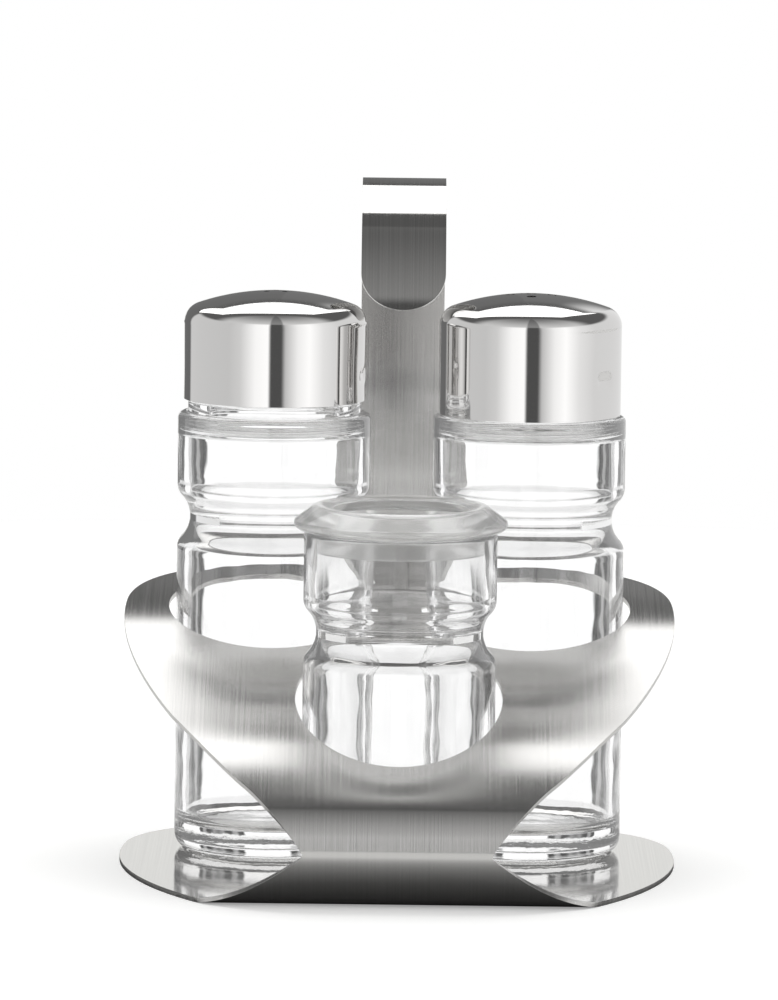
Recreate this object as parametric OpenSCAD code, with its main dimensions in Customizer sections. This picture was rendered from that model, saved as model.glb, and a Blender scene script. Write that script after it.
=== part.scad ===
// Table menage: a one-piece bent sheet-steel stand that carries a salt shaker,
// a pepper shaker and a toothpick jar. Millimetres, +Z up, front towards -Y.
// The stand is one strip of sheet: flat base, front bend, bowed top plate with
// three holes, then a tongue that bends up as the handle and curls over as a hook.
// Each glass stands on the base, and a hole in the plate steadies it.

/* [Stand sheet] */
// Thickness of the sheet
sheet_t = 1; // [0.8:0.1:1.5]
// Outer radius of the bend at the front
bend_r = 11.65; // [9:0.05:14]
// Slope of the top plate where it leaves the bend, in degrees
plate_slope = 34.2; // [31:0.1:37]
// Radius of the bow of the top plate
plate_bow_r = 211; // [195:1:240]
// Width of the rim round the outer side of a shaker hole
rim_w = 9; // [7:0.5:12]
// Width of the web between the jar hole and a shaker hole
web_w = 5.2; // [3:0.1:8]
// Distance from the jar hole to the start of the front bend
nose_w = 3.4; // [2:0.1:6]
// Half of the width left between the two notches at the bend
waist_half_w = 18.9; // [17:0.1:22]
// Angle of the lower edge of a notch on the flat sheet, in degrees
notch_cut = 36; // [33:0.5:40]
// Radius of the flared upper edge of a notch
notch_flare_r = 41.5; // [38:0.5:45]
// Radius in the point of a notch
notch_tip_r = 1; // [0.6:0.1:2]

/* [Handle] */
// Height of the whole set, from the table to the top of the hook
set_h = 140; // [136:1:160]
// Width of the handle strip
handle_w = 17.9; // [14:0.1:20]
// Radius of the inner side of the bend where the tongue turns up
tongue_bend_r = 4; // [3:0.5:6]
// Fillet between the tongue and the back edge of the plate
tongue_fillet_r = 6; // [3:0.5:8]
// Outer radius of the small bend at the back of the hook
hook_back_r = 5.5; // [4:0.5:8]
// Outer radius of the long arc at the front of the hook
hook_r = 33; // [30:0.5:36]
// Angle that the long arc turns through, in degrees
hook_turn = 77; // [70:1:84]
// Height of the rounded end of the hook
hook_end_h = 7.6; // [6:0.1:9]

/* [Shakers] */
// Outer diameter of a shaker
shaker_d = 40.6; // [38:0.1:43]
// Gap between the two shakers
shaker_gap = 13; // [11:0.5:18]
// Height of a shaker to its shoulder
shaker_h = 92.4; // [86:0.1:100]
// Distance from the shoulder of a shaker down to the middle of its finger groove
shaker_groove_drop = 22; // [20:0.1:26]
// Play between a glass and its hole, each side
hole_play = 1.5; // [1:0.1:2.5]
// Diameter of the shoulder ring under the thread
neck_ring_d = 36.4; // [34:0.1:36.8]
// Height of that ring
neck_ring_h = 2.6; // [2:0.1:3.5]
// Diameter of the threaded neck
neck_d = 33.2; // [31:0.1:34]
// Height of the threaded neck above the ring
neck_h = 9.6; // [8:0.1:11]
// Inner diameter of the neck
mouth_d = 27.6; // [24:0.1:29]

/* [Glass] */
// Wall of every glass
glass_wall = 2.3; // [1.8:0.1:3]
// Thickness of the foot of every glass
glass_foot = 5.5; // [4:0.1:8]
// Height of the finger groove
groove_h = 13.5; // [11:0.1:15]
// Depth of the finger groove
groove_depth = 2.7; // [2:0.1:3.2]
// Radius of the two shoulders of the groove
groove_edge_r = 3.5; // [2.5:0.1:4.5]
// Radius round the foot
foot_r = 3; // [2:0.1:4]
// Hollow under the foot
push_up = 1.2; // [0.6:0.1:2]

/* [Caps] */
// Outer diameter of a cap
cap_d = 38.3; // [37.6:0.1:39]
// Height of the salt cap
salt_cap_h = 25.2; // [24:0.1:27]
// Height of the pepper cap, whose skirt is shorter
pepper_cap_h = 22.7; // [21:0.1:24]
// Wall of the pressed steel cap
cap_wall = 0.6; // [0.4:0.05:0.7]
// Radius of the dome
dome_r = 50; // [40:1:70]
// Radius between skirt and dome
cap_edge_r = 3; // [2:0.1:4]
// Diameter of the salt holes
salt_hole_d = 2; // [1.5:0.1:2.4]
// Pitch of the salt holes
salt_pitch = 4.4; // [3.4:0.1:5]
// Diameter of the pepper holes
pepper_hole_d = 1.2; // [0.8:0.1:1.6]
// Radius of the ring of pepper holes
pepper_ring_r = 2.2; // [1.6:0.1:3]
// Radius of the pressed dimples that lock the plastic insert
dimple_r = 2.2; // [1.6:0.1:2.6]
// Depth of the dimples
dimple_depth = 0.35; // [0.2:0.05:0.4]

/* [Jar] */
// Outer diameter of the toothpick jar
jar_d = 39.8; // [38:0.1:41]
// Height of the glass of the jar
jar_h = 72.1; // [70:0.1:76]
// Distance from the top of the glass down to the middle of its finger groove
jar_groove_drop = 20.7; // [18:0.1:24]

/* [Collar] */
// Diameter of the rim of the collar
collar_rim_d = 43.9; // [43:0.1:45]
// Diameter of the top edge of the collar
collar_top_d = 36.3; // [34:0.1:38]
// Height of the collar above the glass
collar_h = 5.6; // [4:0.1:7]
// Height of the upright edge of the rim
collar_edge_h = 1.1; // [0.8:0.1:1.6]
// Diameter of the opening for the toothpicks
collar_mouth_d = 27.6; // [22:0.1:30]
// Wall of the collar
collar_wall = 1.3; // [1:0.1:1.6]
// Depth of the plug that sits in the glass
plug_depth = 4; // [3:0.1:6]

/* [Hidden] */
$fn = 96;

// Clearances between pieces
rest_gap = 0.05;
thread_gap = 0.05;
insert_gap = 0.05;
cap_seat_gap = 0.3;
plug_gap = 0.05;
hook_gap = 0.5;
// Overrun of a cut past the face that it opens
over = 1;

// Places of the glasses, seen from above, with the shakers' row at row_y
shaker_r = shaker_d / 2;
shaker_x = shaker_r + shaker_gap / 2;
shaker_hole_r = shaker_r + hole_play;
jar_r = jar_d / 2;
jar_hole_r = jar_r + hole_play;
jar_ahead = sqrt(pow(shaker_hole_r + web_w + jar_hole_r, 2) - shaker_x * shaker_x);
foot_z = sheet_t + rest_gap;

// Side view of the sheet, as distances behind the shakers' row
bend_back = -jar_ahead - jar_hole_r - nose_w;
bend_front = bend_back - bend_r;
bow_centre = [bend_back - bend_r * sin(plate_slope) + plate_bow_r * sin(plate_slope),
              bend_r + bend_r * cos(plate_slope) - plate_bow_r * cos(plate_slope)];
// The corners of the hook pass behind the lifted shakers
hook_corner_turn = acos(cos(hook_turn) + hook_end_h / hook_r);
hook_corner_back = sqrt(max(0, pow(shaker_r + hook_gap, 2) - pow(shaker_x - handle_w / 2, 2)));
hook_top_back = hook_corner_back + hook_r * sin(hook_corner_turn);
handle_back = hook_top_back + hook_back_r;
handle_face = handle_back - sheet_t;
tongue_centre_back = handle_face - tongue_bend_r;
tongue_slope = asin((bow_centre.x - tongue_centre_back) / (plate_bow_r + tongue_bend_r));
tongue_centre_z = bow_centre.y + (plate_bow_r + tongue_bend_r) * cos(tongue_slope);

// The origin is under the middle of the set
row_y = -(bend_front + handle_back) / 2;
jar_y = row_y - jar_ahead;

// Top view of the sheet: the lobes follow the shaker holes, then widen towards the front
lobe_r = shaker_hole_r + rim_w;
base_side_turn = 8;
base_side_r = 100;
base_corner_r = 12;
base_cut_turn = notch_cut - 90;
plate_side_turn = 5;
plate_side_r = 85;
notch_flare_turn = -31;
step = 3;

function polar(r, a) = r * [cos(a), sin(a)];
function arc(c, r, from, to) =
    let (n = ceil(abs(to - from) / step))
    [for (i = [0 : n]) c + polar(r, from + (to - from) * i / n)];
function mirrored(half) =
    concat(half, [for (i = [len(half) - 1 : -1 : 0]) [-half[i].x, half[i].y]]);

// One straight cut of the flat sheet runs from the side of the base, through the bend, to the
// point of the notch. A wrap is the angle of a place on the bend, counted from the base.
notch_tip = [waist_half_w, bend_r - sheet_t / 4];
notch_floor = sheet_t + rest_gap;
tip_wrap = acos(1 - notch_tip.y / bend_r);
floor_wrap = acos(1 - notch_floor / bend_r);
bend_mm = bend_r * PI / 180;
function cut_x(wrap) = notch_tip.x + bend_mm * (tip_wrap - wrap) / tan(notch_cut);
function bent(p) =
    p.y > bend_back ? p : [p.x, bend_back - bend_r * sin((bend_back - p.y) / bend_mm)];

lobe_c = [shaker_x, 0];
base_side_c = lobe_c - polar(base_side_r - lobe_r, base_side_turn);
// The corner touches both the side of the base and the cut
cut_reach = ([cut_x(0), bend_back] - base_side_c) * polar(1, base_cut_turn) - base_corner_r;
base_corner_turn = base_cut_turn + acos(min(1, cut_reach / (base_side_r - base_corner_r)));
base_corner_c = base_side_c + polar(base_side_r - base_corner_r, base_corner_turn);
plate_side_c = lobe_c - polar(plate_side_r - lobe_r, plate_side_turn);
// The side arc of the plate ends beside the jar hole, and the notch takes over
plate_side_end = asin((bend_back + nose_w - over - plate_side_c.y) / plate_side_r);

// Front view of a notch: flared above, cut straight below, with a small radius in its point
notch_up = 90 - notch_cut;
notch_flare_c = notch_tip + polar(notch_flare_r, notch_flare_turn);
notch_lean = acos((notch_tip_r - (notch_flare_c - notch_tip) * polar(1, notch_up))
                  / (notch_flare_r - notch_tip_r));
notch_round_c = notch_flare_c + polar(notch_flare_r - notch_tip_r, notch_up + notch_lean);
notch_out = lobe_r + shaker_x + over;

module placed(x, y, z) {
    translate([x, y, z]) children();
}

// Side profile of a ring sector, r being its outer radius
module sector(c, r, from, to) {
    translate(c) intersection() {
        difference() {
            circle(r, $fn = 360);
            circle(r - sheet_t, $fn = 360);
        }
        polygon(concat([[0, 0]], [for (i = [0 : 4]) polar(2 * r, from + (to - from) * i / 4)]));
    }
}

// Turns a side profile into sheet of width w, its x pointing back and its y up
module sheet(w) {
    translate([-w / 2, row_y, 0]) rotate([90, 0, 90]) linear_extrude(w) children();
}

module base_and_plate_profile() {
    translate([bend_back, 0]) square([lobe_r - bend_back, sheet_t]);
    sector([bend_back, bend_r], bend_r, 90 + plate_slope, 270);
    sector(bow_centre, plate_bow_r, 90 + tongue_slope, 90 + plate_slope);
}

module handle_profile() {
    sector([tongue_centre_back, tongue_centre_z], tongue_bend_r + sheet_t, tongue_slope - 90, 0);
    translate([handle_face, tongue_centre_z]) square([sheet_t, set_h - hook_back_r - tongue_centre_z]);
    sector([hook_top_back, set_h - hook_back_r], hook_back_r, 0, 90);
    sector([hook_top_back, set_h - hook_r], hook_r, 90, 90 + hook_turn);
}

module base_outline() {
    polygon(mirrored(concat(
        arc(lobe_c, lobe_r, 90, base_side_turn),
        arc(base_side_c, base_side_r, base_side_turn, base_corner_turn),
        [for (p = arc(base_corner_c, base_corner_r, base_corner_turn, base_cut_turn)) bent(p)],
        [bent([cut_x(floor_wrap), bend_back - bend_mm * floor_wrap]),
         [cut_x(floor_wrap), bend_front - over]])));
}

module plate_outline() {
    side_end = plate_side_c + polar(plate_side_r, plate_side_end);
    polygon(mirrored(concat(
        [[handle_w / 2, handle_back]],
        arc([handle_w / 2 + tongue_fillet_r, lobe_r + tongue_fillet_r], tongue_fillet_r, 180, 270),
        arc(lobe_c, lobe_r, 90, plate_side_turn),
        arc(plate_side_c, plate_side_r, plate_side_turn, plate_side_end),
        [[side_end.x, bend_front - over]])));
}

module notch() {
    high_wrap = tip_wrap - 2 * step;
    turns = ceil((high_wrap - floor_wrap) / step);
    wraps = [for (i = [turns : -1 : 0]) floor_wrap + (high_wrap - floor_wrap) * i / turns];
    floor_back = bend_back - bend_r * sin(floor_wrap);
    difference() {
        translate([0, row_y, 0]) rotate([90, 0, 0])
            linear_extrude(-2 * bend_front, center = true)
                polygon(concat(
                    arc(notch_flare_c, notch_flare_r, 90, notch_up + notch_lean),
                    arc(notch_round_c, notch_tip_r, notch_up + notch_lean, notch_up + 180),
                    [for (w = wraps) [cut_x(w), bend_r * (1 - cos(w))]],
                    [[notch_out, notch_floor], [notch_out, notch_flare_c.y + notch_flare_r]]));
        // Behind this line the outline of the base makes the cut
        translate([0, row_y + floor_back, 0]) cube([2 * notch_out, -2 * bend_front, notch_tip.y]);
    }
}

module hook_end() {
    low_z = set_h - hook_r * (1 - cos(hook_turn));
    half_w = handle_w / 2;
    ends = [for (a = [180 : step : 360]) [half_w * cos(a), low_z + hook_end_h * (1 + sin(a))]];
    translate([0, row_y + hook_top_back, 0]) rotate([90, 0, 0])
        linear_extrude(hook_r + over)
            polygon(concat(ends, [[half_w, set_h + over], [-half_w, set_h + over]]));
}

module stand() {
    waist_z = notch_tip.y;
    color("silver") {
        difference() {
            intersection() {
                sheet(2 * notch_out) base_and_plate_profile();
                translate([0, row_y, 0]) {
                    translate([0, 0, -over]) linear_extrude(waist_z + over) base_outline();
                    translate([0, 0, waist_z]) linear_extrude(set_h) plate_outline();
                }
            }
            notch();
            mirror([1, 0, 0]) notch();
            for (side = [-1, 1])
                translate([side * shaker_x, row_y, waist_z]) cylinder(set_h, r = shaker_hole_r);
            translate([0, jar_y, waist_z]) cylinder(set_h, r = jar_hole_r);
        }
        difference() {
            sheet(handle_w) handle_profile();
            difference() {
                translate([-handle_w, row_y - hook_r, set_h - hook_r])
                    cube([2 * handle_w, hook_r + hook_top_back, hook_r + over]);
                hook_end();
            }
        }
    }
}

// Half profile of a turned block from the axis out to r, with rounded lower and upper edges
module turned_block(r, low, high, low_r, high_r) {
    translate([0, low + low_r]) square([r, high - low - low_r - high_r]);
    translate([0, low]) square([r - low_r, high - low]);
    translate([0, low]) square([r - high_r, high - low]);
    translate([r - low_r, low + low_r]) circle(low_r);
    translate([r - high_r, high - high_r]) circle(high_r);
}

// What a finger groove takes from a wall of radius r, smooth at both shoulders
module groove_cut(r, z, height, depth, edge_r) {
    turn = 2 * atan(2 * depth / height);
    hollow_r = height / 2 / sin(turn) - edge_r;
    turn_x = r - edge_r * (1 - cos(turn));
    difference() {
        translate([0, z]) {
            translate([r - depth + hollow_r, 0]) circle(hollow_r);
            translate([turn_x, -height / 2]) square([hollow_r, height]);
        }
        for (side = [-1, 1])
            translate([r - edge_r, z + side * height / 2]) circle(edge_r);
    }
}

module keep_right_of_axis(r, high) {
    intersection() {
        children();
        translate([0, -over]) square([r, high + 2 * over]);
    }
}

// Outside of a glass up to its shoulder, with the hollow under its foot
module glass_outside(d, high, groove_z, shoulder_r) {
    r = d / 2;
    hollow_w = r - foot_r - glass_wall / 2;
    hollow_r = (hollow_w * hollow_w + push_up * push_up) / (2 * push_up);
    keep_right_of_axis(r + over, high) difference() {
        turned_block(r, 0, high, foot_r, shoulder_r);
        groove_cut(r, groove_z, groove_h, groove_depth, groove_edge_r);
        translate([0, push_up - hollow_r]) circle(hollow_r, $fn = 360);
    }
}

// Inside of a glass, whose groove is shallower and longer than the outer one
module glass_inside(d, high, groove_z, shoulder_r) {
    r = d / 2 - glass_wall;
    keep_right_of_axis(r, high) difference() {
        turned_block(r, glass_foot, high, foot_r, shoulder_r);
        groove_cut(r, groove_z, groove_h + glass_wall, groove_depth - glass_wall / 4, glass_wall);
    }
}

neck_ring_top = shaker_h + neck_ring_h;
neck_top = neck_ring_top + neck_h;
shoulder_r = neck_ring_h / 2;
lip_r = glass_wall / 4;

module bottle() {
    rotate_extrude() difference() {
        union() {
            glass_outside(shaker_d, shaker_h, shaker_h - shaker_groove_drop, shoulder_r);
            translate([0, glass_foot + foot_r])
                square([neck_ring_d / 2, neck_ring_top - glass_foot - foot_r - lip_r]);
            keep_right_of_axis(neck_ring_d, neck_top)
                turned_block(neck_ring_d / 2, shaker_h, neck_ring_top, lip_r, lip_r);
            keep_right_of_axis(neck_d, neck_top)
                turned_block(neck_d / 2, shaker_h, neck_top, lip_r, lip_r);
        }
        glass_inside(shaker_d, shaker_h - glass_wall, shaker_h - shaker_groove_drop, foot_r);
        translate([0, shaker_h - glass_wall - foot_r]) square([mouth_d / 2, shaker_h]);
    }
}

cap_low = shaker_h + cap_seat_gap;
cap_top = cap_low + salt_cap_h;
insert_low = neck_ring_top + cap_seat_gap;
insert_top = neck_top + thread_gap + collar_wall;
dimple_z = (insert_low + insert_top) / 2;

// Half profile of the domed outside of a cap, or of its inside when shrunk by its wall
module dome_profile(low, shrink) {
    r = cap_d / 2 - shrink;
    edge_r = cap_edge_r - shrink;
    big_r = dome_r - shrink;
    dome_c = cap_top - dome_r;
    edge_x = r - edge_r;
    edge_z = dome_c + sqrt(pow(big_r - edge_r, 2) - edge_x * edge_x);
    translate([0, low]) square([r, edge_z - low]);
    translate([edge_x, edge_z]) circle(edge_r);
    intersection() {
        translate([0, dome_c]) circle(big_r, $fn = 360);
        translate([0, low]) square([edge_x * big_r / (big_r - edge_r), cap_top - low]);
    }
}

// Two opposite dimples on the skirt of a cap, at a depth under its outer face
module dimples(turn, depth, r) {
    for (side = [0, 180])
        rotate([0, 0, turn + side])
            translate([cap_d / 2 - depth + r, 0, dimple_z]) sphere(r, $fn = 48);
}

module cap_shell(low, turn) {
    difference() {
        union() {
            rotate_extrude() difference() {
                dome_profile(low, 0);
                dome_profile(low - over, cap_wall);
            }
            intersection() {
                dimples(turn, dimple_depth + cap_wall, dimple_r + cap_wall);
                translate([0, 0, low]) cylinder(cap_top - low - cap_edge_r, d = cap_d);
            }
        }
        dimples(turn, dimple_depth, dimple_r);
        children();
    }
}

module cap_insert(turn) {
    outer_r = cap_d / 2 - cap_wall - insert_gap;
    difference() {
        rotate_extrude() {
            bore_r = neck_d / 2 + thread_gap;
            translate([bore_r, insert_low]) square([outer_r - bore_r, insert_top - insert_low]);
            translate([mouth_d / 2, neck_top + thread_gap])
                square([outer_r - mouth_d / 2, insert_top - neck_top - thread_gap]);
        }
        dimples(turn, dimple_depth + cap_wall + insert_gap, dimple_r + cap_wall);
    }
}

module drill(x, y, d) {
    translate([x, y, cap_top - dome_r]) cylinder(dome_r + over, d = d, $fn = 32);
}

// The salt's dimple shows to the right of the front, the pepper's faces the handle
salt_turn = -35;
pepper_turn = -12;

module salt_bottle() {
    color("lightblue") placed(shaker_x, row_y, foot_z) bottle();
}

module salt_cap() {
    color("gainsboro") placed(shaker_x, row_y, foot_z) cap_shell(cap_low, salt_turn) {
        for (p = [[0, 0], [1, 0], [-1, 0], [0, 1], [0, -1]])
            drill(p.x * salt_pitch, p.y * salt_pitch, salt_hole_d);
    }
}

module salt_cap_insert() {
    color("white") placed(shaker_x, row_y, foot_z) cap_insert(salt_turn);
}

module pepper_bottle() {
    color("lightblue") placed(-shaker_x, row_y, foot_z) bottle();
}

module pepper_cap() {
    color("gainsboro") placed(-shaker_x, row_y, foot_z) cap_shell(cap_top - pepper_cap_h, pepper_turn) {
        for (a = [90 : 120 : 330])
            drill(pepper_ring_r * cos(a), pepper_ring_r * sin(a), pepper_hole_d);
    }
}

module pepper_cap_insert() {
    color("white") placed(-shaker_x, row_y, foot_z) cap_insert(pepper_turn);
}

module toothpick_jar() {
    color("lightblue") placed(0, jar_y, foot_z) rotate_extrude() difference() {
        glass_outside(jar_d, jar_h, jar_h - jar_groove_drop, lip_r);
        glass_inside(jar_d, jar_h + foot_r + over, jar_h - jar_groove_drop, foot_r);
    }
}

module toothpick_collar() {
    seat = jar_h + rest_gap;
    top = seat + collar_h;
    rim_r = collar_rim_d / 2;
    top_r = collar_top_d / 2;
    plug_r = jar_r - glass_wall - plug_gap;
    mouth_r = collar_mouth_d / 2;
    dish = collar_wall / 2;
    under_x = jar_r - glass_wall / 2;
    color("whitesmoke") placed(0, jar_y, foot_z) rotate_extrude() {
        // Flange: sloping above, hollow below, dished towards the mouth
        polygon([[plug_r - collar_wall, seat], [under_x, seat],
                 [rim_r - dish, seat + dish], [rim_r, seat + 2 * dish],
                 [rim_r, seat + 2 * dish + collar_edge_h],
                 [top_r, top - dish / 2], [top_r - dish, top], [top_r - 2 * dish, top],
                 [mouth_r, top - dish], [mouth_r, top - dish - collar_wall],
                 [plug_r - collar_wall, top - dish - collar_wall]]);
        translate([plug_r - collar_wall, seat - plug_depth]) square([collar_wall, plug_depth + over]);
    }
}

stand();
salt_bottle();
salt_cap();
salt_cap_insert();
pepper_bottle();
pepper_cap();
pepper_cap_insert();
toothpick_jar();
toothpick_collar();
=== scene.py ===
# %% [markdown]
# This scene dresses a table menage: a stand bent from one strip of stainless sheet,
# with a salt shaker, a pepper shaker and a toothpick jar of pressed glass.
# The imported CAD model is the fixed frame. Each visible piece below is made again with a
# smoother mesh and a finish of its own, in the same place and on the same moving body.

from math import acos, asin, atan, atan2, ceil, cos, degrees, exp, hypot, pi, radians, sin, sqrt, tan

import bmesh
import bpy
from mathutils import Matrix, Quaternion, Vector


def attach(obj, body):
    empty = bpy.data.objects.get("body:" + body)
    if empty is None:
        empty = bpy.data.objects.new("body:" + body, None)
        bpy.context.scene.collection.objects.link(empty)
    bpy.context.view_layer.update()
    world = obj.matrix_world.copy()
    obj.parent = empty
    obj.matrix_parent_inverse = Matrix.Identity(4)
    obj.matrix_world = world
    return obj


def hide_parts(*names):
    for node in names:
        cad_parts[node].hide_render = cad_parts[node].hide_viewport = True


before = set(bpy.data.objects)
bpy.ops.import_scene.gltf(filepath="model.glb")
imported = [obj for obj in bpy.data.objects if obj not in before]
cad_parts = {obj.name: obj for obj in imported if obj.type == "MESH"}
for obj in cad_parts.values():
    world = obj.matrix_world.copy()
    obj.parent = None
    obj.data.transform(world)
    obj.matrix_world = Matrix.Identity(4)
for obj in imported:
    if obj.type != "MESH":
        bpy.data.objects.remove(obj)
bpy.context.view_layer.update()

# %% [markdown]
# The photograph was taken with a long lens from the front, a little above the set.
# The ellipses of caps, collar and glass feet give the height of the camera, and their
# change from top to bottom gives its distance. The set leans a little in the picture,
# so the camera is rolled.

# %% Camera
MM = 0.001
FOCAL_PX = 7619
LONG_SIDE_PX = 1000
SENSOR = 36
camera_distance = 1604 * MM
camera_elevation = radians(6.685)
camera_roll = radians(0.7)
aim = Vector((-2.52, 15.6, 75.0)) * MM
towards_camera = Vector((0, -cos(camera_elevation), sin(camera_elevation)))
camera_data = bpy.data.cameras.new("camera")
camera_data.sensor_width = SENSOR
camera_data.lens = FOCAL_PX / LONG_SIDE_PX * SENSOR
camera = bpy.data.objects.new("camera", camera_data)
camera.rotation_mode = "QUATERNION"
camera.location = aim + camera_distance * towards_camera
camera.rotation_quaternion = (-towards_camera).to_track_quat("-Z", "Y") @ Quaternion((0, 0, 1), camera_roll)
bpy.context.scene.collection.objects.link(camera)
bpy.context.scene.camera = camera
print("lens in mm:", round(camera_data.lens, 1))

# %% [markdown]
# Every material and the studio are node trees. One function adds a node, sets it and
# links it, one starts an empty material, and one turns a hex colour, as a screen shows
# it, into linear light.

# %% Helpers for nodes and colours
def add_node(tree, kind, inputs=(), **settings):
    made = tree.nodes.new("ShaderNode" + kind)
    for name, value in settings.items():
        setattr(made, name, value)
    for socket, value in dict(inputs).items():
        if isinstance(value, bpy.types.NodeSocket):
            tree.links.new(value, made.inputs[socket])
        else:
            made.inputs[socket].default_value = value
    return made


def new_material(name):
    made = bpy.data.materials.new(name)
    made.use_nodes = True
    made.node_tree.nodes.clear()
    return made, made.node_tree


def linear(hex_colour, alpha=1.0):
    parts = [int(hex_colour[i : i + 2], 16) / 255 for i in (0, 2, 4)]
    return [p / 12.92 if p <= 0.04045 else ((p + 0.055) / 1.055) ** 2.4 for p in parts] + [alpha]


# %% [markdown]
# Steel and glass show the room more than themselves, so the room is drawn with care.
# It is pale round the horizon up to 28 degrees, where two large softboxes stand left and
# right of a dark gap, and it darkens overhead.
# Glass shows the wall behind it: white in a narrow field and grey beside it, which gives
# clear glass its dark edges. That pattern is repeated every 45 degrees, so that the set
# looks alike from all sides. What the camera sees past the set is plain white.

# %% Studio
scene = bpy.context.scene
scene.view_settings.view_transform = "Standard"
ROOM_FILL = 0.5
PALE_TOP = 28
GAP_LEFT, GAP_RIGHT = -6, 11
# Light level round the horizon, by azimuth from the camera's side
WALL_LEVELS = [(-180, 0.8), (-120, 0.78), (-60, 0.74), (-44, 0.84), (-24, 1.3), (-8, 1.4), (-5, 0.1),
               (9, 0.1), (14, 0.7), (30, 1.2), (45, 1.4), (65, 1.05), (90, 0.88), (180, 0.9)]
WALL_TOP = 1.5
SHADE_LEFT, SHADE_RIGHT, SHADE_DEPTH = -46, 8, 0.78
GAP_ABOVE = 0.7
OVER_WIDTH, OVER_SOFT, OVER_LOW, OVER_HIGH = 80, 15, 0.75, 0.05
SOFT = 4
DARK = 0.13
THROUGH_LEVEL = 0.95
# Light level behind clear glass, by the angle from the nearest stripe
STRIPE_STEP = 45
STRIPES = [(0.1, 1.15), (9, 1.15), (10, 0.05), (12, 0.1), (13, 0.45), (14.5, 0.35), (15.5, 0.06), (18, 0.1),
           (20, 0.35), (22.4, 0.2)]
world = bpy.data.worlds.new("studio")
world.use_nodes = True
scene.world = world
tree = world.node_tree
tree.nodes.clear()


def calc(operation, a, b=0.0, c=1.0):
    return add_node(tree, "Math", {0: a, 1: b, 2: c}, operation=operation).outputs[0]


def ramp(value, start, end, low, high):
    """Goes smoothly from low to high while the angle goes from start to end, in degrees."""
    return add_node(tree, "MapRange", {"Value": value, "From Min": radians(start), "From Max": radians(end),
                                       "To Min": low, "To Max": high}, interpolation_type="SMOOTHSTEP").outputs[0]


def band(value, low, high, soft):
    return calc("MULTIPLY", ramp(value, low - soft, low + soft, 0, 1), ramp(value, high - soft, high + soft, 1, 0))


rays = add_node(tree, "LightPath")
way = add_node(tree, "TexCoord")
axes = add_node(tree, "SeparateXYZ", {0: way.outputs["Generated"]})
right, back, up = axes.outputs
from_front = calc("ARCTAN2", right, calc("MULTIPLY", back, -1.0))
from_back = calc("ARCTAN2", right, back)
height = calc("ARCSINE", up)
gap = band(from_front, GAP_LEFT, GAP_RIGHT, 1.5)
shade = band(from_back, SHADE_LEFT, SHADE_RIGHT, 3)


def levels(value, stops):
    """A grey level for each part of the range 0 to 1, from stops of (place, level)."""
    made = add_node(tree, "ValToRGB", {0: value})
    elements = made.color_ramp.elements
    for place, grey in stops:
        elements.new(place).color = (grey, grey, grey, 1)
    elements.remove(elements[0])
    elements.remove(elements[-1])
    return made.outputs[0]


wall = levels(calc("MULTIPLY_ADD", from_front, 1 / (2 * pi), 0.5),
              [(0.001 + 0.998 * (a + 180) / 360, level / WALL_TOP) for a, level in WALL_LEVELS])
pale = calc("MULTIPLY", ramp(height, PALE_TOP - SOFT, PALE_TOP + SOFT, WALL_TOP, 0),
            calc("MULTIPLY", wall, calc("MULTIPLY_ADD", shade, -SHADE_DEPTH)))
over = calc("MULTIPLY", band(from_front, -OVER_WIDTH, OVER_WIDTH, OVER_SOFT),
            calc("MULTIPLY", ramp(height, PALE_TOP - SOFT, PALE_TOP + SOFT, 0, 1),
                 ramp(height, 10, 95, OVER_LOW, OVER_HIGH)))
over = calc("MULTIPLY", over, calc("MULTIPLY_ADD", gap, -GAP_ABOVE))
upper = calc("ADD", over, ramp(height, PALE_TOP - SOFT, PALE_TOP + SOFT, 0, DARK))
mirrored = calc("ADD", pale, upper)
half_step = radians(STRIPE_STEP) / 2
away = calc("PINGPONG", calc("ADD", from_front, pi), half_step)
stripes = levels(calc("DIVIDE", away, half_step), [(2 * a / STRIPE_STEP, grey) for a, grey in STRIPES])
aloft = ramp(height, 24, 34, 0, 1)
above = calc("MAXIMUM", mirrored, THROUGH_LEVEL)
steep = ramp(calc("ABSOLUTE", height), 8, 14, 0, 1)
through = add_node(tree, "Mix", {"Factor": steep, 2: stripes, 3: THROUGH_LEVEL}).outputs[0]
through = add_node(tree, "Mix", {"Factor": aloft, 2: through, 3: above}).outputs[0]
level = add_node(tree, "Mix", {"Factor": rays.outputs["Is Glossy Ray"], 2: ROOM_FILL, 3: mirrored})
level = add_node(tree, "Mix", {"Factor": rays.outputs["Is Transmission Ray"], 2: level.outputs[0], 3: through})
sky = add_node(tree, "Mix", {"Factor": rays.outputs["Is Camera Ray"], 2: level.outputs[0], 3: 1.0})
lit = add_node(tree, "Background", {"Color": sky.outputs[0]})
add_node(tree, "OutputWorld", {"Surface": lit.outputs[0]})

HEART = Vector((0, 0, 75)) * MM


def softbox(name, azimuth, elevation, distance, width, height, radiance):
    """A lamp that lights what is matt. Azimuth 0 is the camera's side and 90 is +X."""
    data = bpy.data.lights.new(name, "AREA")
    data.shape = "RECTANGLE"
    data.size, data.size_y = width, height
    data.energy = radiance * pi * width * height
    lamp = bpy.data.objects.new(name, data)
    a, e = radians(azimuth), radians(elevation)
    outwards = Vector((sin(a) * cos(e), -cos(a) * cos(e), sin(e)))
    lamp.rotation_mode = "QUATERNION"
    lamp.location = HEART + distance * outwards
    lamp.rotation_quaternion = outwards.to_track_quat("Z", "Y")
    lamp.visible_camera = False
    lamp.visible_glossy = False
    lamp.visible_transmission = False
    scene.collection.objects.link(lamp)


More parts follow.
